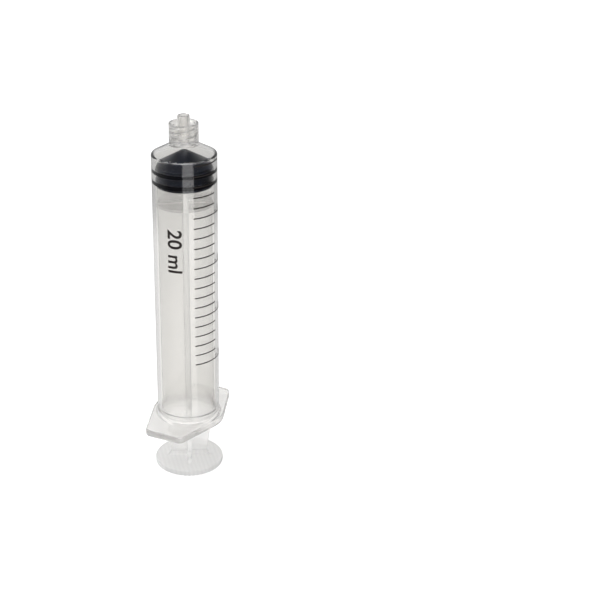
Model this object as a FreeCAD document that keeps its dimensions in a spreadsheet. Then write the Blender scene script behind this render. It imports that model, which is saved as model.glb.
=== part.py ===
import FreeCAD, Part
import math
import os

from FreeCAD import Placement, Rotation, Vector
import Sketcher

# A 20 ml luer lock syringe, standing on its thumb rest with the outlet up.
# The frame has its origin at the centre of the thumb face, +Z along the barrel towards the outlet,
# and X and Y along the plunger rod's blades.
# The syringe is three mouldings: a clear barrel, a translucent plunger rod and a rubber stopper.
# The volume scale is ink printed on the barrel.

doc = FreeCAD.newDocument("luer_lock_syringe")

# Driving dimensions, in millimetres, degrees and millilitres.
SIZES = (
    ("bore_radius", 9.525, "barrel: inside radius"),
    ("barrel_wall", 1.175, "barrel: wall of the tube"),
    ("tube_length", 96.45, "barrel: open end to the outer rim of the shoulder"),
    ("rim_rounding", 0.6, "barrel: rounding of the shoulder's outer rim"),
    ("shoulder_angle", 28.4, "barrel: slope of the shoulder from level"),
    ("shoulder_wall", 1.0, "barrel: wall of the shoulder"),
    ("inner_rounding", 0.5, "barrel: rounding where the bore meets the shoulder"),
    ("mouth_radius", 11.0, "barrel: lead-in at the open end, radius"),
    ("mouth_depth", 2.6, "barrel: lead-in at the open end, depth"),
    ("bead_place", 3.8, "barrel: open end to the middle of the retaining bead"),
    ("bead_width", 1.8, "barrel: retaining bead, along the bore"),
    ("bead_height", 0.4, "barrel: retaining bead, proud of the bore"),
    ("flange_thickness", 2.4, "finger flange: thickness"),
    ("flange_half_length", 19.2, "finger flange: middle to each end"),
    ("flange_half_end", 6.85, "finger flange: half the width of each end"),
    ("flange_half_waist", 13.15, "finger flange: half the width at the middle, before rounding"),
    ("flange_corner_radius", 2.4, "finger flange: end corners, radius"),
    ("flange_waist_radius", 12.0, "finger flange: corners at the middle, radius"),
    ("flange_edge_rounding", 0.4, "finger flange: rounding of the upper and lower edges"),
    ("root_rounding", 1.0, "finger flange: fillet to the tube"),
    ("collar_radius", 4.78, "luer lock: outside radius of the threaded collar"),
    ("collar_bore", 4.0, "luer lock: inside radius of the collar, at the thread's root"),
    ("collar_plinth", 1.65, "luer lock: shoulder to the collar's floor"),
    ("collar_rounding", 0.2, "luer lock: rounding of the collar's rim"),
    ("tip_length", 7.9, "luer lock: collar's floor to the end of the tip"),
    ("tip_reach", 2.5, "luer lock: how far the tip stands out of the collar"),
    ("tip_radius", 1.965, "luer lock: radius of the tip at its end"),
    ("tip_taper", 0.03, "luer lock: growth of the tip's radius for each mm of length, 6 % cone"),
    ("tip_bore", 1.1, "luer lock: radius of the fluid channel"),
    ("tip_rounding", 0.3, "luer lock: rounding of the tip's end"),
    ("barrel_turn", 60.4, "assembly: turn of the barrel on the plunger, as it lies"),
    ("set_back", 3.2, "assembly: how far the plunger is drawn back from home"),
    ("home_gap", 0.08, "assembly: stopper's cone to the shoulder at home, along the axis"),
    ("rod_length", 104.0, "plunger rod: thumb face to the stopper's seat"),
    ("blade_thickness", 1.5, "plunger rod: thickness of the crossed blades"),
    ("blade_gap", 0.575, "plunger rod: edge of a blade to the bore"),
    ("neck_half_width", 6.3, "plunger rod: axis to the edge of a blade at the finger neck"),
    ("neck_top", 22.0, "plunger rod: height where the finger neck reaches full width"),
    ("neck_foot_radius", 2.4, "plunger rod: round notch between blade and thumb disc"),
    ("thumb_radius", 11.9, "plunger rod: thumb disc, radius"),
    ("thumb_thickness", 2.0, "plunger rod: thumb disc, thickness over the ridges"),
    ("thumb_rounding", 0.5, "plunger rod: thumb disc, rounding of the rim"),
    ("ridge_pitch", 1.45, "plunger rod: grip ridges on the thumb face, pitch"),
    ("ridge_land", 0.45, "plunger rod: grip ridges, flat top"),
    ("ridge_height", 0.35, "plunger rod: grip ridges, height"),
    ("ridge_turn", 8.0, "plunger rod: grip ridges, turn from the Y axis"),
    ("end_blade_length", 5.5, "plunger rod: top of the stop disc to the stopper's seat"),
    ("stop_disc_gap", 0.225, "plunger rod: stop disc to the bore"),
    ("stop_disc_thickness", 0.9, "plunger rod: stop disc, thickness"),
    ("stem_radius", 2.6, "plunger rod: stem under the head that holds the stopper"),
    ("stem_root", 1.0, "plunger rod: stem below the seat, where it grows out of the blades"),
    ("stem_length", 2.4, "plunger rod: seat to the underside of the head"),
    ("head_radius", 4.4, "plunger rod: head that snaps into the stopper, radius"),
    ("head_rim", 0.9, "plunger rod: head, height of its cylindrical rim"),
    ("head_height", 3.0, "plunger rod: head, height"),
    ("head_nose_radius", 2.6, "plunger rod: head, radius of its flat end"),
    ("running_gap", 0.05, "stopper: clearance all round the rod's stem and head"),
    ("seat_gap", 0.1, "stopper: its lower face to the top of the blades"),
    ("rib_gap", 0.025, "stopper: sealing rib to the bore"),
    ("rib_height", 0.4, "stopper: sealing ribs, proud of its sides"),
    ("lower_rib_start", 0.8, "stopper: lower face to the lower sealing rib"),
    ("lower_rib_end", 2.4, "stopper: lower face to the end of the lower rib"),
    ("upper_rib_start", 4.5, "stopper: lower face to the upper sealing rib"),
    ("upper_rib_end", 6.0, "stopper: lower face to the end of the upper rib, its reading edge"),
    ("rib_rounding", 0.25, "stopper: rounding of the sealing ribs"),
    ("cone_start", 6.8, "stopper: lower face to the foot of the cone"),
    ("nose_radius", 2.5, "stopper: rounding at the top of the cone"),
    ("capacity", 20, "print: last graduation, in millilitres"),
    ("long_step", 5, "print: millilitres from one long line to the next"),
    ("line_height", 0.4, "print: height of a line"),
    ("ink_thickness", 0.03, "print: thickness of the ink"),
    ("print_start", -138.0, "print: angle at which the lines start, from the flange's long axis"),
    ("short_sweep", 47.4, "print: angle that a short line covers"),
    ("long_sweep", 64.0, "print: angle that a long line covers"),
)

sheet = doc.addObject("Spreadsheet::Sheet", "sizes")
for row, (alias, value, meaning) in enumerate(SIZES, start=1):
    sheet.set(f"A{row}", meaning)
    sheet.set(f"B{row}", str(value))
    sheet.setAlias(f"B{row}", alias)
doc.recompute()

# Places worked out from the driving dimensions, as expressions.
# Barrel heights run from its open end, stopper heights from its lower face.
OUTER_RADIUS = "(sizes.bore_radius + sizes.barrel_wall)"
SLOPE = "tan(sizes.shoulder_angle)"
SHOULDER_END = f"(sizes.tube_length + ({OUTER_RADIUS} - sizes.collar_radius) * {SLOPE})"
COLLAR_FLOOR = f"({SHOULDER_END} + sizes.collar_plinth)"
TIP_END = f"({COLLAR_FLOOR} + sizes.tip_length)"
COLLAR_END = f"({TIP_END} - sizes.tip_reach)"
INNER_APEX = (
    f"(sizes.tube_length + {OUTER_RADIUS} * {SLOPE} - sizes.shoulder_wall / cos(sizes.shoulder_angle))"
)
RIB_RADIUS = "(sizes.bore_radius - sizes.rib_gap)"
SIDE_RADIUS = f"({RIB_RADIUS} - sizes.rib_height)"
STOPPER_APEX = f"(sizes.cone_start + {SIDE_RADIUS} * {SLOPE})"
STOPPER_PLACE = "(sizes.rod_length + sizes.seat_gap)"
BARREL_PLACE = f"({STOPPER_PLACE} + {STOPPER_APEX} + sizes.set_back + sizes.home_gap - {INNER_APEX})"
ZERO_LINE = f"(sizes.upper_rib_end - {STOPPER_APEX} - sizes.home_gap + {INNER_APEX})"
ML_PITCH = "(1000 / (pi * sizes.bore_radius ^ 2))"

# A cutting profile runs this far past each face that it opens, in millimetres.
CUT_PAST = 1


def value_of(expression):
    """Work out an expression of the sheet's sizes as a plain number."""
    result = sheet.evalExpression(expression)
    return float(getattr(result, "Value", result))


def new_body(name):
    """Start a sub-part with a label of its own."""
    body = doc.addObject("PartDesign::Body", name)
    body.Label = name
    return body


def new_sketch(body, name, plane="XZ_Plane"):
    """Start a sketch on one of the body's own origin planes."""
    sketch = body.newObject("Sketcher::SketchObject", name)
    support = next(item for item in body.Origin.OriginFeatures if item.Role == plane)
    sketch.AttachmentSupport = (support, [""])
    sketch.MapMode = "FlatFace"
    return sketch


def fix_point(sketch, geometry, end, across, up, name):
    """Tie one end of a line or an arc to its two coordinates."""
    for kind, expression, suffix in (("DistanceX", across, "x"), ("DistanceY", up, "y")):
        constraint = Sketcher.Constraint(kind, -1, 1, geometry, end, value_of(expression))
        index = sketch.addConstraint(constraint)
        sketch.renameConstraint(index, f"{name}_{suffix}")
        sketch.setExpression(f"Constraints.{name}_{suffix}", expression)


def draw_outline(sketch, corners):
    """Draw a closed outline through corners, each a pair of expressions, across and up.

    A third item in a corner is the radius of the arc from it to the next corner, and a fourth says
    which way that arc turns: 1 is anticlockwise and -1 is clockwise.
    """
    points = [Vector(value_of(corner[0]), value_of(corner[1]), 0) for corner in corners]
    starts = []
    for number, corner in enumerate(corners):
        here = points[number]
        there = points[(number + 1) % len(points)]
        if len(corner) == 2:
            geometry = sketch.addGeometry(Part.LineSegment(here, there), False)
            starts.append((geometry, 1, 2))
            continue
        radius, turning = corner[2], corner[3]
        half = (there - here) * 0.5
        rise = math.sqrt(max(value_of(radius) ** 2 - half.Length**2, 0.0))
        centre = here + half + Vector(-half.y, half.x, 0).normalize() * (rise * turning)
        circle = Part.Circle(centre, Vector(0, 0, 1), value_of(radius))
        first, last = (here, there) if turning > 0 else (there, here)
        arc = Part.ArcOfCircle(circle, circle.parameter(first), circle.parameter(last))
        geometry = sketch.addGeometry(arc, False)
        starts.append((geometry, 1, 2) if turning > 0 else (geometry, 2, 1))
        index = sketch.addConstraint(Sketcher.Constraint("Radius", geometry, value_of(radius)))
        sketch.renameConstraint(index, f"radius_{number}")
        sketch.setExpression(f"Constraints.radius_{number}", radius)
    for number, corner in enumerate(corners):
        geometry, start, end = starts[number]
        following, following_start, _ = starts[(number + 1) % len(starts)]
        sketch.addConstraint(
            Sketcher.Constraint("Coincident", geometry, end, following, following_start)
        )
        fix_point(sketch, geometry, start, corner[0], corner[1], f"corner_{number}")


def turn_profile(body, kind, name, corners):
    """Turn a profile, given as radius and height, round the body's Z axis."""
    sketch = new_sketch(body, name + "_profile")
    draw_outline(sketch, corners)
    feature = body.newObject(kind, name)
    feature.Profile = sketch
    feature.ReferenceAxis = (sketch, ["V_Axis"])
    feature.Angle = 360
    doc.recompute()
    return feature


def round_edges(body, name, radius, wanted):
    """Round the edges of the body's last feature that wanted() picks."""
    doc.recompute()
    base = body.Tip
    picked = [f"Edge{n}" for n, edge in enumerate(base.Shape.Edges, start=1) if wanted(edge)]
    feature = body.newObject("PartDesign::Fillet", name)
    feature.Base = (base, picked)
    feature.setExpression("Radius", radius)
    doc.recompute()
    return feature


def is_ring(edge, radius, height):
    """Say whether an edge is the circle round Z with this radius at this height."""
    if edge.Degenerated or not isinstance(edge.Curve, Part.Circle):
        return False
    centre = edge.Curve.Center
    off_axis = math.hypot(centre.x, centre.y)
    return (
        off_axis < 1e-4
        and abs(edge.Curve.Radius - value_of(radius)) < 1e-4
        and abs(centre.z - value_of(height)) < 1e-4
    )


# Barrel: one clear moulding of tube, finger flange, shoulder, luer tip and threaded collar.
barrel = new_body("barrel")

flange_sketch = new_sketch(barrel, "flange_outline", "XY_Plane")
draw_outline(
    flange_sketch,
    (
        ("sizes.flange_half_length", "-sizes.flange_half_end"),
        ("sizes.flange_half_length", "sizes.flange_half_end"),
        ("0", "sizes.flange_half_waist"),
        ("-sizes.flange_half_length", "sizes.flange_half_end"),
        ("-sizes.flange_half_length", "-sizes.flange_half_end"),
        ("0", "-sizes.flange_half_waist"),
    ),
)
flange = barrel.newObject("PartDesign::Pad", "finger_flange")
flange.Profile = flange_sketch
flange.setExpression("Length", "sizes.flange_thickness")


def is_upright(edge):
    """Say whether an edge runs along Z."""
    first, last = edge.Vertexes[0].Point, edge.Vertexes[-1].Point
    return math.hypot(last.x - first.x, last.y - first.y) < 1e-6


def at_flange_end(edge):
    """Say whether an edge is nearer to an end of the flange than to its middle."""
    return abs(edge.Vertexes[0].Point.x) > value_of("sizes.flange_half_length / 2")


round_edges(barrel, "flange_corners", "sizes.flange_corner_radius",
            lambda edge: is_upright(edge) and at_flange_end(edge))
round_edges(barrel, "flange_waist", "sizes.flange_waist_radius",
            lambda edge: is_upright(edge) and abs(edge.Vertexes[0].Point.x) < 1e-4)
round_edges(barrel, "flange_edges", "sizes.flange_edge_rounding",
            lambda edge: not is_upright(edge))

turn_profile(
    barrel,
    "PartDesign::Revolution",
    "tube_and_shoulder",
    (
        ("0", "0"),
        (OUTER_RADIUS, "0"),
        (OUTER_RADIUS, "sizes.tube_length"),
        ("sizes.collar_radius", SHOULDER_END),
        ("sizes.collar_radius", TIP_END),
        ("0", TIP_END),
    ),
)

# The core leaves the lead-in, the retaining bead, the bore, the shoulder's inside and the channel.
BEAD_RADIUS = "((sizes.bead_width ^ 2 / 4 + sizes.bead_height ^ 2) / (2 * sizes.bead_height))"
turn_profile(
    barrel,
    "PartDesign::Groove",
    "core",
    (
        ("0", f"-{CUT_PAST}"),
        ("sizes.mouth_radius", f"-{CUT_PAST}"),
        ("sizes.mouth_radius", "0"),
        ("sizes.bore_radius", "sizes.mouth_depth"),
        ("sizes.bore_radius", "sizes.bead_place - sizes.bead_width / 2", BEAD_RADIUS, -1),
        ("sizes.bore_radius", "sizes.bead_place + sizes.bead_width / 2"),
        ("sizes.bore_radius", f"{INNER_APEX} - sizes.bore_radius * {SLOPE}"),
        ("sizes.tip_bore", f"{INNER_APEX} - sizes.tip_bore * {SLOPE}"),
        ("sizes.tip_bore", f"{TIP_END} + {CUT_PAST}"),
        ("0", f"{TIP_END} + {CUT_PAST}"),
    ),
)

# The annular space leaves the tapered tip standing inside the collar and past its rim.
turn_profile(
    barrel,
    "PartDesign::Groove",
    "luer_space",
    (
        ("sizes.tip_radius + sizes.tip_taper * sizes.tip_length", COLLAR_FLOOR),
        ("sizes.collar_bore", COLLAR_FLOOR),
        ("sizes.collar_bore", COLLAR_END),
        (f"sizes.collar_radius + {CUT_PAST}", COLLAR_END),
        (f"sizes.collar_radius + {CUT_PAST}", f"{TIP_END} + {CUT_PAST}"),
        (f"sizes.tip_radius - sizes.tip_taper * {CUT_PAST}", f"{TIP_END} + {CUT_PAST}"),
    ),
)

round_edges(barrel, "shoulder_rim", "sizes.rim_rounding",
            lambda edge: is_ring(edge, OUTER_RADIUS, "sizes.tube_length"))
round_edges(barrel, "flange_root", "sizes.root_rounding",
            lambda edge: is_ring(edge, OUTER_RADIUS, "sizes.flange_thickness"))
round_edges(barrel, "bore_end", "sizes.inner_rounding",
            lambda edge: is_ring(edge, "sizes.bore_radius", f"{INNER_APEX} - sizes.bore_radius * {SLOPE}"))
round_edges(barrel, "collar_rim", "sizes.collar_rounding",
            lambda edge: is_ring(edge, "sizes.collar_radius", COLLAR_END)
            or is_ring(edge, "sizes.collar_bore", COLLAR_END))
round_edges(barrel, "tip_end", "sizes.tip_rounding",
            lambda edge: is_ring(edge, "sizes.tip_radius", TIP_END))

barrel.Placement = Placement(Vector(0, 0, 0), Rotation(Vector(0, 0, 1), 1))
barrel.setExpression("Placement.Base.z", BARREL_PLACE)
barrel.setExpression("Placement.Rotation.Angle", "sizes.barrel_turn")

# Plunger rod: one translucent moulding of crossed blades, thumb disc, stop disc and snap-in head.
rod = new_body("plunger_rod")

NECK_HEIGHT = "(sizes.thumb_thickness + sizes.neck_foot_radius)"
BLADE_BASE = "(sizes.thumb_thickness / 2)"
BLADE_HALF_WIDTH = "(sizes.bore_radius - sizes.blade_gap)"
for plane in ("XZ_Plane", "YZ_Plane"):
    direction = plane[0].lower()
    blade_sketch = new_sketch(rod, f"blade_outline_{direction}", plane)
    foot = "(sizes.neck_half_width + sizes.neck_foot_radius)"
    draw_outline(
        blade_sketch,
        (
            (foot, BLADE_BASE),
            (foot, "sizes.thumb_thickness", "sizes.neck_foot_radius", -1),
            ("sizes.neck_half_width", NECK_HEIGHT),
            (BLADE_HALF_WIDTH, "sizes.neck_top"),
            (BLADE_HALF_WIDTH, "sizes.rod_length"),
            (f"-{BLADE_HALF_WIDTH}", "sizes.rod_length"),
            (f"-{BLADE_HALF_WIDTH}", "sizes.neck_top"),
            ("-sizes.neck_half_width", NECK_HEIGHT, "sizes.neck_foot_radius", -1),
            (f"-{foot}", "sizes.thumb_thickness"),
            (f"-{foot}", BLADE_BASE),
        ),
    )
    blade = rod.newObject("PartDesign::Pad", f"blade_along_{direction}")
    blade.Profile = blade_sketch
    blade.SideType = "Symmetric"
    blade.setExpression("Length", "sizes.blade_thickness")
doc.recompute()

turn_profile(
    rod,
    "PartDesign::Revolution",
    "thumb_disc",
    (
        ("0", "0"),
        ("sizes.thumb_radius", "0"),
        ("sizes.thumb_radius", "sizes.thumb_thickness"),
        ("0", "sizes.thumb_thickness"),
    ),
)
round_edges(rod, "thumb_rim", "sizes.thumb_rounding",
            lambda edge: is_ring(edge, "sizes.thumb_radius", "0")
            or is_ring(edge, "sizes.thumb_radius", "sizes.thumb_thickness"))

STOP_DISC_RADIUS = "(sizes.bore_radius - sizes.stop_disc_gap)"
STOP_DISC_TOP = "(sizes.rod_length - sizes.end_blade_length)"
STOP_DISC_BASE = f"({STOP_DISC_TOP} - sizes.stop_disc_thickness)"
turn_profile(
    rod,
    "PartDesign::Revolution",
    "stop_disc",
    (
        ("0", STOP_DISC_BASE),
        (STOP_DISC_RADIUS, STOP_DISC_BASE),
        (STOP_DISC_RADIUS, STOP_DISC_TOP),
        ("0", STOP_DISC_TOP),
    ),
)

HEAD_BASE = "(sizes.rod_length + sizes.stem_length)"
turn_profile(
    rod,
    "PartDesign::Revolution",
    "stem_and_head",
    (
        ("0", "sizes.rod_length - sizes.stem_root"),
        ("sizes.stem_radius", "sizes.rod_length - sizes.stem_root"),
        ("sizes.stem_radius", HEAD_BASE),
        ("sizes.head_radius", HEAD_BASE),
        ("sizes.head_radius", f"{HEAD_BASE} + sizes.head_rim"),
        ("sizes.head_nose_radius", f"{HEAD_BASE} + sizes.head_height"),
        ("0", f"{HEAD_BASE} + sizes.head_height"),
    ),
)

# Straight grooves across the thumb face leave the grip ridges standing.
groove_sketch = new_sketch(rod, "grip_groove_section")
groove_sketch.AttachmentOffset = Placement(Vector(0, 0, 0), Rotation(Vector(0, 1, 0), 1))
groove_sketch.setExpression("AttachmentOffset.Rotation.Angle", "sizes.ridge_turn")
GROOVE_COUNT = "floor(2 * (sizes.thumb_radius - sizes.thumb_rounding) / sizes.ridge_pitch)"
FIRST_GROOVE = f"(-sizes.ridge_pitch * ({GROOVE_COUNT} - 1) / 2)"
GROOVE_HALF = "((sizes.ridge_pitch - sizes.ridge_land) / 2)"
draw_outline(
    groove_sketch,
    (
        (f"{FIRST_GROOVE} - {GROOVE_HALF}", f"-{CUT_PAST}"),
        (f"{FIRST_GROOVE} + {GROOVE_HALF}", f"-{CUT_PAST}"),
        (f"{FIRST_GROOVE} + {GROOVE_HALF}", "0"),
        (f"{FIRST_GROOVE} + {GROOVE_HALF} / 2", "sizes.ridge_height"),
        (f"{FIRST_GROOVE} - {GROOVE_HALF} / 2", "sizes.ridge_height"),
        (f"{FIRST_GROOVE} - {GROOVE_HALF}", "0"),
    ),
)
groove = rod.newObject("PartDesign::Pocket", "grip_groove")
groove.Profile = groove_sketch
groove.SideType = "Symmetric"
groove.setExpression("Length", f"2 * (sizes.thumb_radius + {CUT_PAST})")
doc.recompute()
grooves = rod.newObject("PartDesign::LinearPattern", "grip_grooves")
grooves.Originals = [groove]
grooves.Direction = (groove_sketch, ["H_Axis"])
grooves.Mode = "Spacing"
grooves.setExpression("Offset", "sizes.ridge_pitch")
grooves.Occurrences = round(value_of(GROOVE_COUNT))
rod.Tip = grooves
doc.recompute()

# Stopper: black rubber, snapped over the rod's head, with two ribs that seal on the bore.
stopper = new_body("stopper")

NOSE_FOOT = "(sizes.nose_radius * sin(sizes.shoulder_angle))"
NOSE_TOP = f"({STOPPER_APEX} - sizes.nose_radius * (1 / cos(sizes.shoulder_angle) - 1))"
SOCKET_BASE = "(sizes.stem_length - sizes.seat_gap)"
SOCKET_STEM = "(sizes.stem_radius + sizes.running_gap)"
SOCKET_HEAD = "(sizes.head_radius + sizes.running_gap)"
turn_profile(
    stopper,
    "PartDesign::Revolution",
    "rubber",
    (
        ("0", "0"),
        (SIDE_RADIUS, "0"),
        (SIDE_RADIUS, "sizes.lower_rib_start"),
        (RIB_RADIUS, "sizes.lower_rib_start"),
        (RIB_RADIUS, "sizes.lower_rib_end"),
        (SIDE_RADIUS, "sizes.lower_rib_end"),
        (SIDE_RADIUS, "sizes.upper_rib_start"),
        (RIB_RADIUS, "sizes.upper_rib_start"),
        (RIB_RADIUS, "sizes.upper_rib_end"),
        (SIDE_RADIUS, "sizes.upper_rib_end"),
        (SIDE_RADIUS, "sizes.cone_start"),
        (NOSE_FOOT, f"{STOPPER_APEX} - {NOSE_FOOT} * {SLOPE}", "sizes.nose_radius", 1),
        ("0", NOSE_TOP),
    ),
)
turn_profile(
    stopper,
    "PartDesign::Groove",
    "socket",
    (
        ("0", f"-{CUT_PAST}"),
        (SOCKET_STEM, f"-{CUT_PAST}"),
        (SOCKET_STEM, f"{SOCKET_BASE} - sizes.running_gap"),
        (SOCKET_HEAD, f"{SOCKET_BASE} - sizes.running_gap"),
        (SOCKET_HEAD, f"{SOCKET_BASE} + sizes.head_rim + sizes.running_gap"),
        ("sizes.head_nose_radius + sizes.running_gap",
         f"{SOCKET_BASE} + sizes.head_height + sizes.running_gap"),
        ("0", f"{SOCKET_BASE} + sizes.head_height + sizes.running_gap"),
    ),
)
RIB_EDGES = ("sizes.lower_rib_start", "sizes.lower_rib_end", "sizes.upper_rib_start",
             "sizes.upper_rib_end")
round_edges(stopper, "rib_edges", "sizes.rib_rounding",
            lambda edge: any(is_ring(edge, RIB_RADIUS, height) for height in RIB_EDGES))
stopper.setExpression("Placement.Base.z", STOPPER_PLACE)

# Printed scale: lines of ink on the barrel, one for each millilitre of the bore.
ink = new_body("printed_scale")
ink.AllowCompound = True


def print_lines(name, sweep, step, count):
    """Print lines from the zero line down, one for every step millilitres."""
    section = new_sketch(ink, name + "_section")
    section.AttachmentOffset = Placement(Vector(0, 0, 0), Rotation(Vector(0, 1, 0), 1))
    section.setExpression("AttachmentOffset.Rotation.Angle", "sizes.print_start")
    ink_radius = f"({OUTER_RADIUS} + sizes.ink_thickness)"
    low = f"({ZERO_LINE} - sizes.line_height / 2)"
    high = f"({ZERO_LINE} + sizes.line_height / 2)"
    draw_outline(
        section,
        ((OUTER_RADIUS, low), (ink_radius, low), (ink_radius, high), (OUTER_RADIUS, high)),
    )
    line = ink.newObject("PartDesign::Revolution", name)
    line.Profile = section
    line.ReferenceAxis = (section, ["V_Axis"])
    line.setExpression("Angle", sweep)
    doc.recompute()
    lines = ink.newObject("PartDesign::LinearPattern", name + "s")
    lines.Originals = [line]
    lines.Direction = (section, ["V_Axis"])
    lines.Reversed = True
    lines.Mode = "Spacing"
    lines.setExpression("Offset", f"{ML_PITCH} * {step}")
    lines.Occurrences = count
    ink.Tip = lines
    doc.recompute()


last_line = round(value_of("sizes.capacity"))
long_step = round(value_of("sizes.long_step"))
print_lines("millilitre_line", "sizes.short_sweep", "1", last_line + 1)
print_lines("long_line", "sizes.long_sweep", "sizes.long_step", last_line // long_step + 1)
ink.Placement = Placement(Vector(0, 0, 0), Rotation(Vector(0, 0, 1), 1))
ink.setExpression("Placement.Base.z", BARREL_PLACE)
ink.setExpression("Placement.Rotation.Angle", "sizes.barrel_turn")

# Each sub-part is checked, then written to a file of its own.
doc.recompute()
for item in doc.Objects:
    if "Invalid" in item.State or "Error" in item.State:
        raise RuntimeError(f"{item.Name} did not build: {item.State}")

os.makedirs("parts", exist_ok=True)
for body in (barrel, rod, stopper, ink):
    shape = body.Shape
    if shape.isNull() or not shape.isValid():
        raise RuntimeError(f"{body.Label} has no valid shape")
    box = shape.BoundBox
    print(f"{body.Label}: {len(shape.Solids)} solids, {shape.Volume:.2f} mm3, "
          f"z {box.ZMin:.3f} to {box.ZMax:.3f}, x {box.XMin:.2f} to {box.XMax:.2f}")
    shape.exportStep(f"parts/{body.Label}.step")
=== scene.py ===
"""A 20 ml luer lock syringe: clear barrel, translucent plunger rod, black rubber stopper, printed scale."""

import math

import bmesh
import bpy
import numpy as np
from mathutils import Matrix, Vector


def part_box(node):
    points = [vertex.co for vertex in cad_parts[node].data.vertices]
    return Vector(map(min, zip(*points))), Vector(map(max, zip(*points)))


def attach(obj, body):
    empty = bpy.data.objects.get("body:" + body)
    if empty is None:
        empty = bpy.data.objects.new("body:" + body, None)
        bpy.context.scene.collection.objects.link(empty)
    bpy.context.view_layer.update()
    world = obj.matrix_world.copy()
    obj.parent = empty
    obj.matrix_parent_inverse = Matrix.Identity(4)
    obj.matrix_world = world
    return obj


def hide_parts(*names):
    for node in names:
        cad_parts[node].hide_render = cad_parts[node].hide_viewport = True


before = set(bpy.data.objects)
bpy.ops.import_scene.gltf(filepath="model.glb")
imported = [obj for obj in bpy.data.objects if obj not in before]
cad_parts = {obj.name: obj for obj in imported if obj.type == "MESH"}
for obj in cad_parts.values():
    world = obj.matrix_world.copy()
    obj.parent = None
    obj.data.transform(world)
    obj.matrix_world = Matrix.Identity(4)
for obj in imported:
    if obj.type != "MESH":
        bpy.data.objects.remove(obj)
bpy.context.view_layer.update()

# Barrel
# One injection moulding of clear polypropylene: tube, hexagonal finger flange, shoulder, luer tip
# and the collar round it with a two-start thread inside. Sizes are millimetres from the open end.
MM = 0.001
BARREL_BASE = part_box("barrel")[0].z / MM
BARREL_TURN = 60.4
BORE = 9.525
TUBE = 10.7
MOUTH = (11.0, 2.6)
BEAD = {"middle": 3.8, "width": 1.8, "height": 0.4}
FLANGE = {"length": 19.2, "end": 6.85, "waist": 13.15, "corner": 2.4, "bend": 12.0, "thick": 2.4}
SHOULDER = {"rim": 96.45, "slope": math.tan(math.radians(28.4)), "wall": 1.0}
COLLAR = {"outside": 4.78, "inside": 4.0, "plinth": 1.65}
TIP = {"length": 7.9, "reach": 2.5, "radius": 1.965, "taper": 0.03, "channel": 1.1}
THREAD = {"starts": 2, "lead": 5.0, "height": 0.5, "top": 0.25, "foot": 0.8, "fade": 0.7, "margin": 0.3}
ROOT_CIRCLE = 12.0
RIM_REACH = 20.0
RIM_BAND = 1.0
CLOSE_ROW = 0.03


def section(corners, closed=True):
    """Rows of a section as radius and height.

    Each corner is radius, height, rounding and, if wanted, a number of extra rows before the next.
    A corner is cut back by rounding times the tangent of half its turn, an arc joins the two cuts,
    and each straight stretch has a close row beside both ends, so that its shading stays true.
    """
    points = np.array([corner[:2] for corner in corners], float)
    count = len(points)
    arcs = []
    for number, corner in enumerate(corners):
        here = points[number]
        if not closed and number in (0, count - 1):
            arcs.append(here[None])
            continue
        before = here - points[number - 1]
        after = points[(number + 1) % count] - here
        before, after = before / np.hypot(*before), after / np.hypot(*after)
        cross = before[0] * after[1] - before[1] * after[0]
        turn = math.atan2(cross, float(before @ after))
        if corner[2] == 0 or abs(turn) < 1e-6:
            arcs.append(here[None])
            continue
        radius = corner[2]
        side = math.copysign(1.0, turn)
        normal = np.array([-before[1], before[0]]) * side
        start = here - before * radius * math.tan(abs(turn) / 2)
        steps = max(3, round(abs(math.degrees(turn)) / 12))
        angle = np.linspace(0.0, abs(turn), steps + 1)[:, None]
        arcs.append(start + radius * (np.sin(angle) * before + (1 - np.cos(angle)) * normal))
    rows = []
    for number, arc in enumerate(arcs):
        rows.append(arc)
        if not closed and number == count - 1:
            break
        first, last = arc[-1], arcs[(number + 1) % count][0]
        length = math.hypot(*(last - first))
        shares = np.linspace(0.0, 1.0, corners[number][3] + 2)[1:-1] if len(corners[number]) > 3 else []
        if length > 6 * CLOSE_ROW:
            shares = np.concatenate([[CLOSE_ROW / length], shares, [1 - CLOSE_ROW / length]])
        rows.append(first + np.asarray(shares, float).reshape(-1, 1) * (last - first))
    return np.concatenate(rows)


def flange_outline(end_steps=10, corner_steps=14, side_steps=30, waist_steps=18):
    """Points and outward normals round the flange, anticlockwise from the middle of one end.

    A quarter is half an end, the end corner's arc, the slanting side and half the waist's arc.
    The next quarter is its mirror image, and the other half is the first one turned by 180 degrees.
    """
    lean = math.atan2(FLANGE["length"], FLANGE["waist"] - FLANGE["end"])
    normal = np.array([math.cos(lean), math.sin(lean)])
    reach = normal[1] * FLANGE["waist"]
    corner_x = FLANGE["length"] - FLANGE["corner"]
    corner_y = (reach - FLANGE["corner"] - normal[0] * corner_x) / normal[1]
    waist_y = (reach - FLANGE["bend"]) / normal[1]
    corner_angle = np.linspace(0, lean, corner_steps, endpoint=False)
    waist_angle = np.linspace(lean, math.pi / 2, waist_steps + 1)
    angle = np.concatenate([np.zeros(end_steps), corner_angle, np.full(side_steps, lean), waist_angle])
    facing = np.stack([np.cos(angle), np.sin(angle)], axis=-1)
    end = np.stack([np.full(end_steps, FLANGE["length"]),
                    np.linspace(0, corner_y, end_steps, endpoint=False)], axis=-1)
    corner = np.array([corner_x, corner_y]) + FLANGE["corner"] * facing[end_steps:end_steps + corner_steps]
    waist = np.array([0.0, waist_y]) + FLANGE["bend"] * facing[-waist_steps - 1:]
    side_start = np.array([corner_x, corner_y]) + FLANGE["corner"] * normal
    share = np.linspace(0, 1, side_steps, endpoint=False)[:, None]
    side = side_start + share * (waist[0] - side_start)
    quarter = np.concatenate([end, corner, side, waist])
    mirror = np.array([-1.0, 1.0])
    half = np.concatenate([quarter[:-1], quarter[:0:-1] * mirror])
    half_facing = np.concatenate([facing[:-1], facing[:0:-1] * mirror])
    return np.concatenate([half, -half]), np.concatenate([half_facing, -half_facing])


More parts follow.
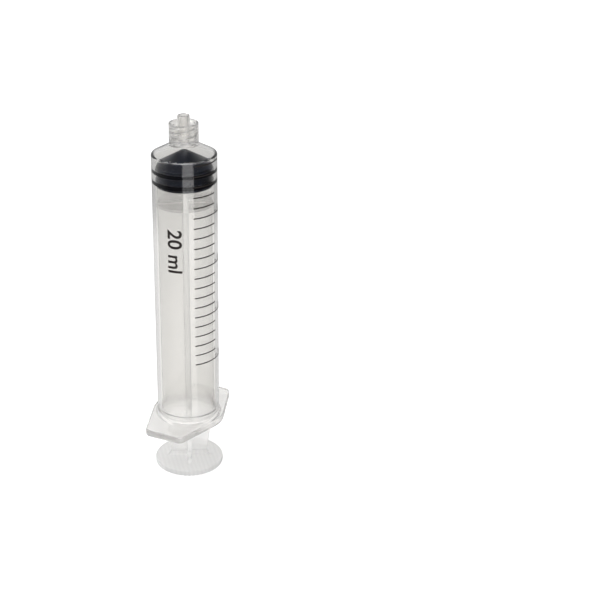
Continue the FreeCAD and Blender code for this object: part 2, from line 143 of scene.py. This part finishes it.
def grid_mesh(name, points, top=None, bottom=None):
    """Mesh of quads over points[row, column]. Columns close round. Rows close round too, unless top
    and bottom are given: then each is a point that a fan of triangles joins to its end row."""
    rows, columns = points.shape[:2]
    index = np.arange(rows * columns).reshape(rows, columns)
    here = index if top is None else index[:-1]
    there = np.roll(index, -1, axis=0) if top is None else index[1:]
    quads = np.stack([here, np.roll(here, -1, 1), np.roll(there, -1, 1), there], axis=-1)
    faces = quads.reshape(-1, 4).tolist()
    places = points.reshape(-1, 3)
    if top is not None:
        places = np.concatenate([places, [bottom, top]])
        low, high = len(places) - 2, len(places) - 1
        first, last = index[0], index[-1]
        faces += np.stack([np.full(columns, low), np.roll(first, -1), first], axis=-1).tolist()
        faces += np.stack([last, np.roll(last, -1), np.full(columns, high)], axis=-1).tolist()
    mesh = bpy.data.meshes.new(name)
    mesh.from_pydata((places * MM).tolist(), [], faces)
    mesh.shade_smooth()
    mesh.set_sharp_from_angle(angle=math.radians(50))
    return mesh


def new_piece(name, mesh, body, slot, *nodes):
    """Link a finished mesh as a piece that rides on a body, and stands for CAD nodes if any are named."""
    piece = bpy.data.objects.new(name, mesh)
    bpy.context.scene.collection.objects.link(piece)
    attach(piece, body)
    if nodes:
        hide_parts(*nodes)
    return piece


def barrel_points():
    """Points of the barrel's skin, rows along its section and columns round it.

    Up to the root circle a row is a circle of its radius. Beyond it the row blends in a straight line
    into the flange's outline, less an inset that shrinks to nothing at the rim. In the collar the
    radius is the bore less the thread's height, which depends on the height along the axis less the
    lead times the share of a turn.
    """
    slope = SHOULDER["slope"]
    shoulder_end = SHOULDER["rim"] + (TUBE - COLLAR["outside"]) * slope
    floor = shoulder_end + COLLAR["plinth"]
    tip_end = floor + TIP["length"]
    collar_end = tip_end - TIP["reach"]
    thread_start, thread_end = floor + THREAD["margin"], collar_end - THREAD["margin"]
    apex = SHOULDER["rim"] + TUBE * slope - SHOULDER["wall"] * math.hypot(1, slope)
    tip_foot = TIP["radius"] + TIP["taper"] * TIP["length"]
    bead_height = BEAD["middle"] + BEAD["width"] / 2 * np.linspace(1, -1, 13)
    bend = (BEAD["width"] ** 2 / 4 + BEAD["height"] ** 2) / (2 * BEAD["height"])
    bead_rise = np.sqrt(bend**2 - (bead_height - BEAD["middle"]) ** 2) - (bend - BEAD["height"])
    corners = [
        (MOUTH[0], 0, 0.12),
        (RIM_REACH, 0, 0.4),
        (RIM_REACH, FLANGE["thick"], 0.4),
        (TUBE, FLANGE["thick"], 1.0),
        (TUBE, SHOULDER["rim"], 0.6),
        (COLLAR["outside"], shoulder_end, 0.25),
        (COLLAR["outside"], collar_end, 0.2),
        (COLLAR["inside"], collar_end, 0.2),
        (COLLAR["inside"], thread_end, 0, 48),
        (COLLAR["inside"], thread_start, 0),
        (COLLAR["inside"], floor, 0.2),
        (tip_foot, floor, 0.2),
        (TIP["radius"], tip_end, 0.3),
        (TIP["channel"], tip_end, 0.1),
        (TIP["channel"], apex - TIP["channel"] * slope, 0.15),
        (BORE, apex - BORE * slope, 0.5),
        *((BORE - rise, height, 0) for rise, height in zip(bead_rise, bead_height)),
        (BORE, MOUTH[1], 0.2),
    ]
    rows = section(corners)
    radius, height = rows[:, :1], rows[:, 1:]
    rim, facing = flange_outline()
    outward = rim / np.linalg.norm(rim, axis=1, keepdims=True)
    turn = np.arctan2(outward[:, 1], outward[:, 0])[None]
    pitch = THREAD["lead"] / THREAD["starts"]
    phase = (height / pitch - THREAD["starts"] * turn / (2 * math.pi)) % 1.0
    from_ridge = np.abs(phase - 0.5) * pitch
    ridge = np.clip((THREAD["foot"] - from_ridge) / (THREAD["foot"] - THREAD["top"]), 0, 1)
    ends = np.clip(np.minimum(thread_end - height, height - thread_start) / THREAD["fade"], 0, 1)
    inside = np.abs(radius - COLLAR["inside"]) < 1e-6
    radius = radius - inside * ends * THREAD["height"] * ridge * ridge * (3 - 2 * ridge)
    spread = np.clip((radius - ROOT_CIRCLE) / (RIM_REACH - RIM_BAND - ROOT_CIRCLE), 0, 1)[..., None]
    inset = np.clip(RIM_REACH - radius, 0, RIM_BAND)[..., None]
    circle = np.minimum(radius, ROOT_CIRCLE)[..., None] * outward
    flat = (1 - spread) * circle + spread * (rim - inset * facing)
    level = np.broadcast_to(height + BARREL_BASE, flat.shape[:2])
    swing = math.radians(BARREL_TURN)
    east = flat[..., 0] * math.cos(swing) - flat[..., 1] * math.sin(swing)
    north = flat[..., 0] * math.sin(swing) + flat[..., 1] * math.cos(swing)
    return np.stack([east, north, level], axis=-1)


class Signal:
    """A socket in a shader tree. Signs such as + and * add Math nodes, also with a number first."""

    def __init__(self, tree, socket=None):
        self.tree, self.socket = tree, socket

    def node(self, kind, settings=(), sockets=(), output=0):
        """Add a node of a kind, set it up, then give its sockets numbers, colours or signals."""
        made = self.tree.nodes.new(kind)
        for name, value in dict(settings).items():
            if name == "stops":
                row = made.color_ramp.elements
                while len(row) < len(value):
                    row.new(1.0)
                for stop, (place, level) in zip(row, value):
                    stop.position, stop.color = place, (level, level, level, 1.0)
            else:
                setattr(made, name, value)
        for name, value in dict(sockets).items():
            if isinstance(value, Signal):
                self.tree.links.new(value.socket, made.inputs[name])
            else:
                made.inputs[name].default_value = value
        return Signal(self.tree, made.outputs[output] if made.outputs else None)

    def maths(self, operation, first, second=0.0):
        """Add a Math node."""
        return self.node("ShaderNodeMath", {"operation": operation}, {0: first, 1: second})

    def __add__(self, other):
        return self.maths("ADD", self, other)

    def __radd__(self, other):
        return self.maths("ADD", other, self)

    def __sub__(self, other):
        return self.maths("SUBTRACT", self, other)

    def __rsub__(self, other):
        return self.maths("SUBTRACT", other, self)

    def __mul__(self, other):
        return self.maths("MULTIPLY", self, other)

    def __rmul__(self, other):
        return self.maths("MULTIPLY", other, self)


def new_material(name):
    """Start a material and return a bare signal in its tree."""
    material = bpy.data.materials.new(name)
    material.use_nodes = True
    material.node_tree.nodes.clear()
    return material, Signal(material.node_tree)


def set_surface(start, shader):
    """Join a shader to the tree's output."""
    start.node("ShaderNodeOutputMaterial", (), {"Surface": shader})


def coordinates(start, kind="Object"):
    """The three coordinates of the point that is shaded, or with Generated those of a ray's way."""
    parts = start.node("ShaderNodeSeparateXYZ", (), {0: start.node("ShaderNodeTexCoord", output=kind)})
    outputs = parts.socket.node.outputs
    return [Signal(start.tree, outputs[number]) for number in range(3)]


def noise(start, scale, detail, stretch=(1.0, 1.0, 1.0)):
    """Noise over the object's coordinates, which stretch multiplies first."""
    place = start.node("ShaderNodeTexCoord", output="Object")
    place = start.node("ShaderNodeMapping", (), {"Vector": place, "Scale": stretch})
    return start.node("ShaderNodeTexNoise", (), {"Vector": place, "Scale": scale, "Detail": detail})


def colour(value):
    """A signal as it is. A grey level or three levels become a colour."""
    if isinstance(value, Signal):
        return value
    return (value, value, value, 1.0) if isinstance(value, float) else (*value, 1.0)


def blend(start, factor, first, second, way="MIX"):
    """Mix two colours by a factor."""
    return start.node("ShaderNodeMix", {"data_type": "RGBA", "blend_type": way},
                      {"Factor": factor, 6: colour(first), 7: colour(second)}, output=2)


def smooth(start, value, low, high, first, last):
    """A smooth step from first to last, while the value goes from low to high."""
    return start.node("ShaderNodeMapRange", {"interpolation_type": "SMOOTHSTEP"}, {
        "Value": value, "From Min": low, "From Max": high, "To Min": first, "To Max": last})


def ramp(start, value, stops):
    """A grey level that follows the value through stops, each a place and a level."""
    return start.node("ShaderNodeValToRGB", {"stops": stops}, {0: value})


def plastic(start, tint, haze, clear, ripple, veil=1.0, painted_shade=0.0):
    """Polypropylene with the soft ripple of a moulded skin. The clear share of its body bends light.
    The rest of it is milky, and a veil below 1 lets light straight on through the milk. Painted
    shade, given as painted_shade, darkens the tint, by up to a quarter."""
    soft = noise(start, 90.0, 2.0, stretch=(1.0, 1.0, 0.25))
    skin = start.node("ShaderNodeBump", (), {"Height": soft, "Strength": ripple, "Distance": 0.0004})
    # The base colour holds painted shade wherever the painted_shade factor is above nothing.
    return start.node("ShaderNodeBsdfPrincipled", (), {
        "Base Color": blend(start, 0.08 * soft + painted_shade, tint, [0.75 * level for level in tint]),
        "Roughness": haze + 0.03 * soft,
        "IOR": 1.49,
        "Transmission Weight": clear,
        "Alpha": veil,
        "Normal": skin,
    })


def barrel_plastic():
    """Clear polypropylene: polished on the tube, satin on the luer end above the shoulder's crown,
    and frosted by a matt mould on the finger flange."""
    material, start = new_material("clear_polypropylene")
    clear = plastic(start, (0.985, 0.977, 0.960), 0.01, 1.0, 0.04)
    frosted = plastic(start, (0.960, 0.948, 0.930), 0.20, 0.85, 0.03, veil=0.9)
    _, _, height = coordinates(start)
    root = BARREL_BASE + FLANGE["thick"]
    crown = BARREL_BASE + SHOULDER["rim"] + (TUBE - COLLAR["outside"]) * SHOULDER["slope"]
    matt = smooth(start, height, (root + 1.5) * MM, (root + 4.5) * MM, 0.9, 0.0)
    satin = smooth(start, height, (crown - 0.4) * MM, (crown + 0.4) * MM, 0.0, 0.6)
    set_surface(start, start.node("ShaderNodeMixShader", (), {0: matt + satin, 1: clear, 2: frosted}))
    return material


barrel_mesh = grid_mesh("barrel", barrel_points())
barrel_mesh.materials.append(barrel_plastic())
new_piece("barrel_moulding", barrel_mesh, "barrel", "barrel_plastic", "barrel")

# Plunger rod
# A second moulding of polypropylene, a little hazier: crossed blades, a ridged thumb disc, a thin
# stop disc near the top and the head that the stopper snaps over.
THUMB_TOP = 3.0
BLADE_EDGE = 8.85
STOP_DISC = 97.5
RIDGE_PITCH = 1.45
RIDGE_TURN = math.radians(8.0)


def rod_plastic():
    """Hazy polypropylene, mattest on the thumb disc. There painted shade darkens it over each ridge of the
    face below, where it is thickest: the painted shade follows a cosine of the distance across the ridges.
    Below the stop disc painted shade darkens the blades' outer edges, for light that comes a long way through
    them."""
    material, start = new_material("natural_polypropylene")
    east, north, height = coordinates(start)
    disc = smooth(start, height, THUMB_TOP * MM, (THUMB_TOP + 2.0) * MM, 1.0, 0.0)
    across = east * math.cos(RIDGE_TURN) + north * math.sin(RIDGE_TURN)
    # Painted shade over the thumb disc: darkest over each ridge of the face below.
    wave = start.maths("COSINE", across * (2 * math.pi / (RIDGE_PITCH * MM)))
    radius = start.maths("SQRT", east * east + north * north)
    # Painted shade on the blades' outer edges, below the stop disc and above the thumb disc.
    edge = start.maths("GREATER_THAN", radius, BLADE_EDGE * MM)
    edge = edge * start.maths("LESS_THAN", height, STOP_DISC * MM) * (1.0 - disc)
    set_surface(start, plastic(start, (0.988, 0.982, 0.972), 0.17 + 0.14 * disc, 0.65, 0.03,
                               veil=0.7, painted_shade=0.14 * disc * (1.0 - wave) + edge))
    return material


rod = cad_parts["plunger_rod"]
rod.data.materials.clear()
rod.data.materials.append(rod_plastic())

# Stopper
# Black rubber, moulded in one piece with two sealing ribs and a cone, and snapped over the rod's
# head. The ribs are pressed against the bore, so the barrel shows them right out to its edge.
STOPPER_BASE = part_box("stopper")[0].z / MM
RIB = BORE + 0.02
SIDE = 9.1
RIB_HEIGHTS = ((0.8, 2.4), (4.5, 6.0))
CONE_START = 6.8
NOSE = 2.5
SOCKET = {"neck": 2.65, "ledge": 2.25, "head": 4.45, "rim": 3.25, "end": 5.35}
COLUMNS = 192


def turned_points(rows, base, columns):
    """Points of a turned piece: each row's radius times cosine and sine of the angle round the axis."""
    angle = np.linspace(0, 2 * math.pi, columns, endpoint=False)
    radius, height = rows[:, :1], rows[:, 1:]
    level = np.broadcast_to(height + base, (len(rows), columns))
    return np.stack([radius * np.cos(angle), radius * np.sin(angle), level], axis=-1)


def stopper_mesh():
    """The stopper, from the end of its socket out over the lower face, the ribs and the cone.

    The arc of the cone's nose runs on past the axis, so the rows end where it comes near the axis.
    """
    apex = CONE_START + SIDE * SHOULDER["slope"]
    ribs = []
    for low, high in RIB_HEIGHTS:
        ribs += [(SIDE, low, 0.15), (RIB, low, 0.25), (RIB, high, 0.25), (SIDE, high, 0.15)]
    corners = [
        (0.02, SOCKET["end"], 0),
        (SOCKET["neck"], SOCKET["end"], 0.15),
        (SOCKET["head"], SOCKET["rim"], 0.15),
        (SOCKET["head"], SOCKET["ledge"], 0.15),
        (SOCKET["neck"], SOCKET["ledge"], 0.15),
        (SOCKET["neck"], 0, 0.2),
        (SIDE, 0, 0.3),
        *ribs,
        (SIDE, CONE_START, 0.2),
        (0.0, apex, NOSE),
        (-SIDE, CONE_START, 0),
    ]
    rows = section(corners, closed=False)
    rows = rows[np.cumsum(rows[:, 0] < 0.015) == 0]
    top = STOPPER_BASE + apex - NOSE * (math.hypot(1, SHOULDER["slope"]) - 1)
    return grid_mesh("stopper", turned_points(rows, STOPPER_BASE, COLUMNS),
                     top=(0, 0, top), bottom=(0, 0, STOPPER_BASE + SOCKET["end"]))


def rubber():
    """Black rubber: a satin skin with fine grain and a little dust. Where the ribs press on the wall
    no air is left between them, and the gloss is gone."""
    material, start = new_material("black_rubber")
    dust = noise(start, 260.0, 3.0)
    skin = start.node("ShaderNodeBump", (), {
        "Height": noise(start, 2600.0, 4.0), "Strength": 0.15, "Distance": 0.00005})
    bare = start.node("ShaderNodeBsdfPrincipled", (), {
        "Base Color": blend(start, dust, (0.005, 0.007, 0.014), (0.009, 0.012, 0.024)),
        "Roughness": 0.30 + 0.12 * dust,
        "Specular IOR Level": 0.25,
        "Normal": skin,
    })
    pressed = start.node("ShaderNodeBsdfPrincipled", (), {
        "Base Color": (0.004, 0.004, 0.006, 1.0),
        "Roughness": 0.6,
        "Specular IOR Level": 0.0,
    })
    east, north, _ = coordinates(start)
    touch = start.maths("GREATER_THAN", start.maths("SQRT", east * east + north * north), (BORE - 0.03) * MM)
    set_surface(start, start.node("ShaderNodeMixShader", (), {0: touch, 1: bare, 2: pressed}))
    return material


stopper = stopper_mesh()
stopper.materials.append(rubber())
new_piece("rubber_stopper", stopper, "seal", "stopper_rubber", "stopper")

# Printed scale
# Dark ink on the outside of the tube: a line for each millilitre, a longer one and a number for
# each fifth, and the capacity, which reads down the tube.
INK_INSIDE, INK_OUTSIDE = TUBE + 0.002, TUBE + 0.03
ZERO_LINE = 113.302
ML_PITCH = 1000 / (math.pi * BORE**2)
LINE_HEIGHT = 0.4
FRONT = -92.0
LINE_START = FRONT + 14.4
SHORT_SWEEP, LONG_SWEEP = 47.4, 64.0
CAPACITY, LONG_STEP = 20, 5


def line_mesh(name):
    """The scale's lines, each a thin closed bar bent round the tube: its four long edges follow the
    angle, and a small face closes it at both ends."""
    number = np.arange(CAPACITY + 1)
    sweep = np.where(number % LONG_STEP == 0, LONG_SWEEP, SHORT_SWEEP)
    share = np.linspace(0, 1, 65)
    angle = np.radians(LINE_START + sweep[:, None] * share)
    radius = np.array([INK_INSIDE, INK_OUTSIDE, INK_OUTSIDE, INK_INSIDE])
    edge = np.array([-0.5, -0.5, 0.5, 0.5]) * LINE_HEIGHT
    level = (ZERO_LINE - ML_PITCH * number)[:, None, None] + np.broadcast_to(edge, (1, len(share), 4))
    across = radius * np.cos(angle)[..., None]
    along = radius * np.sin(angle)[..., None]
    places = np.stack([across, along, np.broadcast_to(level, across.shape)], axis=-1)
    lines, steps = places.shape[:2]
    index = np.arange(lines * steps * 4).reshape(lines, steps, 4)
    here, there = index[:, :-1], index[:, 1:]
    sides = np.stack([here, there, np.roll(there, -1, 2), np.roll(here, -1, 2)], axis=-1)
    ends = np.concatenate([index[:, 0], index[:, -1, ::-1]])
    mesh = bpy.data.meshes.new(name)
    mesh.from_pydata((places.reshape(-1, 3) * MM).tolist(), [], sides.reshape(-1, 4).tolist() + ends.tolist())
    return mesh


def lettering(words, size, first_angle, first_height, reads_down=False):
    """Letters bent round the tube from an angle and a height, as points and faces.

    The flat letters are cut into strips along the way that bends. Then the distance across becomes
    an angle, which is the distance over the tube's radius, and the thickness becomes the ink's.
    """
    curve = bpy.data.curves.new("letters", "FONT")
    curve.body = words
    curve.size = size
    curve.align_y = "CENTER"
    curve.extrude = 0.5
    curve.resolution_u = 5
    curve.offset = 0.018 * size
    flat = bpy.data.objects.new("letters", curve)
    bpy.context.scene.collection.objects.link(flat)
    bpy.context.view_layer.update()
    solid = bmesh.new()
    solid.from_mesh(flat.to_mesh())
    flat.to_mesh_clear()
    bpy.data.objects.remove(flat)
    bmesh.ops.remove_doubles(solid, verts=solid.verts, dist=1e-5)
    bends = 1 if reads_down else 0
    low = min(vertex.co[bends] for vertex in solid.verts)
    high = max(vertex.co[bends] for vertex in solid.verts)
    normal = (bends == 0, bends == 1, 0)
    for place in np.arange(low + 0.2, high, 0.3):
        whole = [*solid.verts, *solid.edges, *solid.faces]
        point = tuple(float(place) * axis for axis in normal)
        bmesh.ops.bisect_plane(solid, geom=whole, dist=1e-5, plane_co=point, plane_no=normal)
    bmesh.ops.triangulate(solid, faces=solid.faces)
    places = np.array([vertex.co for vertex in solid.verts], float)
    faces = [[vertex.index for vertex in face.verts] for face in solid.faces]
    solid.free()
    across, up, out = places.T
    if reads_down:
        across, up = up, -across
    angle = math.radians(first_angle) + across / TUBE
    radius = INK_INSIDE + (out + 0.5) * (INK_OUTSIDE - INK_INSIDE)
    return np.stack([radius * np.cos(angle), radius * np.sin(angle), first_height + up], axis=-1), faces


def print_mesh(name, prints):
    """One mesh of several pieces of lettering."""
    places, faces, start = [], [], 0
    for points, corners in prints:
        places.append(points)
        faces += [[start + corner for corner in face] for face in corners]
        start += len(points)
    mesh = bpy.data.meshes.new(name)
    mesh.from_pydata((np.concatenate(places) * MM).tolist(), [], faces)
    return mesh


def ink():
    """Cured pad-printing ink: nearly black brown, a little uneven in cover."""
    material, start = new_material("printing_ink")
    cover = noise(start, 3200.0, 3.0)
    set_surface(start, start.node("ShaderNodeBsdfPrincipled", (), {
        "Base Color": blend(start, cover, (0.012, 0.009, 0.008), (0.026, 0.020, 0.018)),
        "Roughness": 0.45 + 0.2 * cover,
        "Specular IOR Level": 0.3,
    }))
    return material


printing_ink = ink()
scale_lines = line_mesh("scale_lines")
numbers = print_mesh("scale_numbers", [
    lettering(str(volume), 3.4, LINE_START + LONG_SWEEP + 4.0, ZERO_LINE - ML_PITCH * volume)
    for volume in range(LONG_STEP, CAPACITY + 1, LONG_STEP)
])
capacity = print_mesh("capacity_print", [
    lettering(f"{CAPACITY} ml", 6.8, FRONT - 21.0, 92.0, reads_down=True),
])
for mesh in (scale_lines, numbers, capacity):
    mesh.materials.append(printing_ink)
new_piece("scale_lines", scale_lines, "barrel", "scale_ink", "printed_scale")
new_piece("scale_numbers", numbers, "barrel", "scale_ink")
new_piece("capacity_print", capacity, "barrel", "scale_ink")

# Floor, surroundings and lamps
# The syringe stands on a white table. For rays that the syringe bends or mirrors the table is a painted glow,
# a painted pool of light brightest round its foot. What its gloss mirrors is a bright lane in front, dark on
# both sides of it, and a soft box high up. What shows through it is plain.
THROUGH = [(0.0, 1.08), (0.12, 1.07), (0.3, 1.06), (0.7, 1.0), (0.88, 0.99), (1.0, 1.08)]
MIRRORED = [(0.0, 0.76), (0.16, 0.8), (0.25, 0.4), (0.34, 0.1), (0.470, 0.08), (0.480, 2.1),
            (0.579, 2.1), (0.589, 0.03), (0.75, 0.06), (0.84, 0.66), (1.0, 0.76)]
OVERHEAD = [(0.0, 0.9), (0.35, 0.9), (0.9, 0.5), (1.0, 0.3)]
BOX_RISE = [(0.35, 0.0), (0.45, 1.0), (0.85, 1.0), (0.92, 0.0)]
BOX_WIDTH = [(0.2, 0.0), (0.27, 1.0), (0.7, 1.0), (0.77, 0.0)]
ZENITH = [(0.8, 0.0), (0.95, 0.8)]
BOX_LIGHT = 5.5
DIFFUSED = 1.7
TABLE_HALF = 3.0
TABLE_DROP = 5e-5


def studio_light(start, east, north):
    """What a ray finds in a direction: whether it comes from the camera, whether a piece bent or
    mirrored it, whether it was mirrored at all, its compass share and the tone for that.

    The share runs from the back round by the left, the front and the right. Light that a milky
    piece has scattered finds the same tone all round.
    """
    path = start.node("ShaderNodeLightPath")
    outputs = path.socket.node.outputs
    camera, glossy, through, mirrors, scatters = (Signal(start.tree, outputs[name]) for name in (
        "Is Camera Ray", "Is Glossy Ray", "Is Transmission Ray", "Glossy Depth", "Diffuse Depth"))
    mirrored = start.maths("MINIMUM", mirrors, 1.0)
    share = 0.5 + start.maths("ARCTAN2", east, -1.0 * north) * (0.5 / math.pi)
    tone = blend(start, mirrored, ramp(start, share, THROUGH), ramp(start, share, MIRRORED))
    tone = blend(start, start.maths("MINIMUM", scatters, 1.0), tone, DIFFUSED)
    return camera, start.maths("MAXIMUM", glossy, through), mirrored, share, tone


def table_skin():
    """White paint, lifted to pure white for the camera. Pieces find a painted glow instead, a painted pool
    of light that is weaker far from the syringe, and in mirrors of the front a painted reflection weaker near
    it."""
    material, start = new_material("white_table")
    east, north, _ = coordinates(start)
    camera, bent, mirrored, _, tone = studio_light(start, east, north)
    away = start.maths("SQRT", east * east + north * north)
    # Painted pool of light round the foot, and in mirrors of the front a painted lane that is darker near the
    # syringe.
    painted_light_pool = smooth(start, away, 0.20, 0.27, 1.0, 0.66)
    painted_mirror_lane = smooth(start, away, 0.12, 0.22, 0.45, 0.85)
    level = painted_light_pool + mirrored * start.maths("LESS_THAN", north, 0.0) * (painted_mirror_lane - painted_light_pool)
    painted_glow = start.node("ShaderNodeEmission", (), {"Color": blend(start, level, 0.0, tone)})
    paint = start.node("ShaderNodeBsdfDiffuse", (), {"Color": colour(0.86)})
    lift = start.node("ShaderNodeEmission", (), {"Color": blend(start, camera, 0.0, 0.45)})
    white = start.node("ShaderNodeAddShader", (), {0: paint, 1: lift})
    set_surface(start, start.node("ShaderNodeMixShader", (), {0: bent, 1: white, 2: painted_glow}))
    return material


table_mesh = bpy.data.meshes.new("table")
corners = [(-1, -1), (1, -1), (1, 1), (-1, 1)]
table_mesh.from_pydata([(TABLE_HALF * across, TABLE_HALF * along, -TABLE_DROP) for across, along in corners],
                       [], [(0, 1, 2, 3)])
table_mesh.materials.append(table_skin())
table = bpy.data.objects.new("table", table_mesh)
bpy.context.scene.collection.objects.link(table)


def studio_world():
    """White for the camera and even grey for plain light. Pieces find the tone of the direction,
    a soft box high in front where they mirror it, and dark straight above that."""
    world = bpy.data.worlds.new("studio")
    world.use_nodes = True
    world.node_tree.nodes.clear()
    start = Signal(world.node_tree)
    east, north, rise = coordinates(start, "Generated")
    camera, bent, mirrored, share, tone = studio_light(start, east, north)
    seen = blend(start, 1.0, ramp(start, rise, OVERHEAD), tone, "MULTIPLY")
    box = ramp(start, rise, BOX_RISE) * ramp(start, share, BOX_WIDTH) * mirrored
    seen = blend(start, box, seen, BOX_LIGHT)
    seen = blend(start, ramp(start, rise, ZENITH) * mirrored, seen, 0.0)
    seen = blend(start, camera, blend(start, bent, 0.8, seen), 1.0)
    sky = start.node("ShaderNodeBackground", (), {"Color": seen})
    start.node("ShaderNodeOutputWorld", (), {"Surface": sky})
    return world


bpy.context.scene.world = studio_world()


def lamp(name, place, width, height, power):
    """A soft box that faces the middle of the syringe, in metres and watts."""
    data = bpy.data.lights.new(name, "AREA")
    data.shape = "RECTANGLE"
    data.size, data.size_y, data.energy = width, height, power
    box = bpy.data.objects.new(name, data)
    box.location = place
    box.rotation_euler = (Vector((0, 0, 0.06)) - Vector(place)).to_track_quat("-Z", "Y").to_euler()
    box.visible_camera = False
    bpy.context.scene.collection.objects.link(box)


lamp("front_box", (-0.30, -0.60, 0.75), 0.5, 0.4, 1.2)
lamp("left_box", (-0.70, -0.20, 0.35), 0.3, 0.5, 0.6)

# Camera
# It stands 44 cm away and looks 25 degrees down, with a slight roll. The syringe stands left of the
# picture's middle, but is seen straight on, so the frame is shifted to the side.
AIM = Vector((0, 0, 0.064))
CAMERA_PLACE = Vector((-0.01401, -0.40121, 0.250288))
ROLL = math.radians(-1.02)
camera_data = bpy.data.cameras.new("camera")
camera_data.sensor_width = 36.0
camera_data.lens = 80.17
camera_data.shift_x, camera_data.shift_y = 0.1838, 0.0015
camera_data.clip_start, camera_data.clip_end = 0.01, 20.0
camera = bpy.data.objects.new("camera", camera_data)
gaze = (AIM - CAMERA_PLACE).to_track_quat("-Z", "Y").to_matrix().to_4x4()
camera.matrix_world = Matrix.Translation(CAMERA_PLACE) @ gaze @ Matrix.Rotation(ROLL, 4, "Z")
bpy.context.scene.collection.objects.link(camera)
bpy.context.scene.camera = camera
bpy.context.scene.view_settings.view_transform = "Standard"
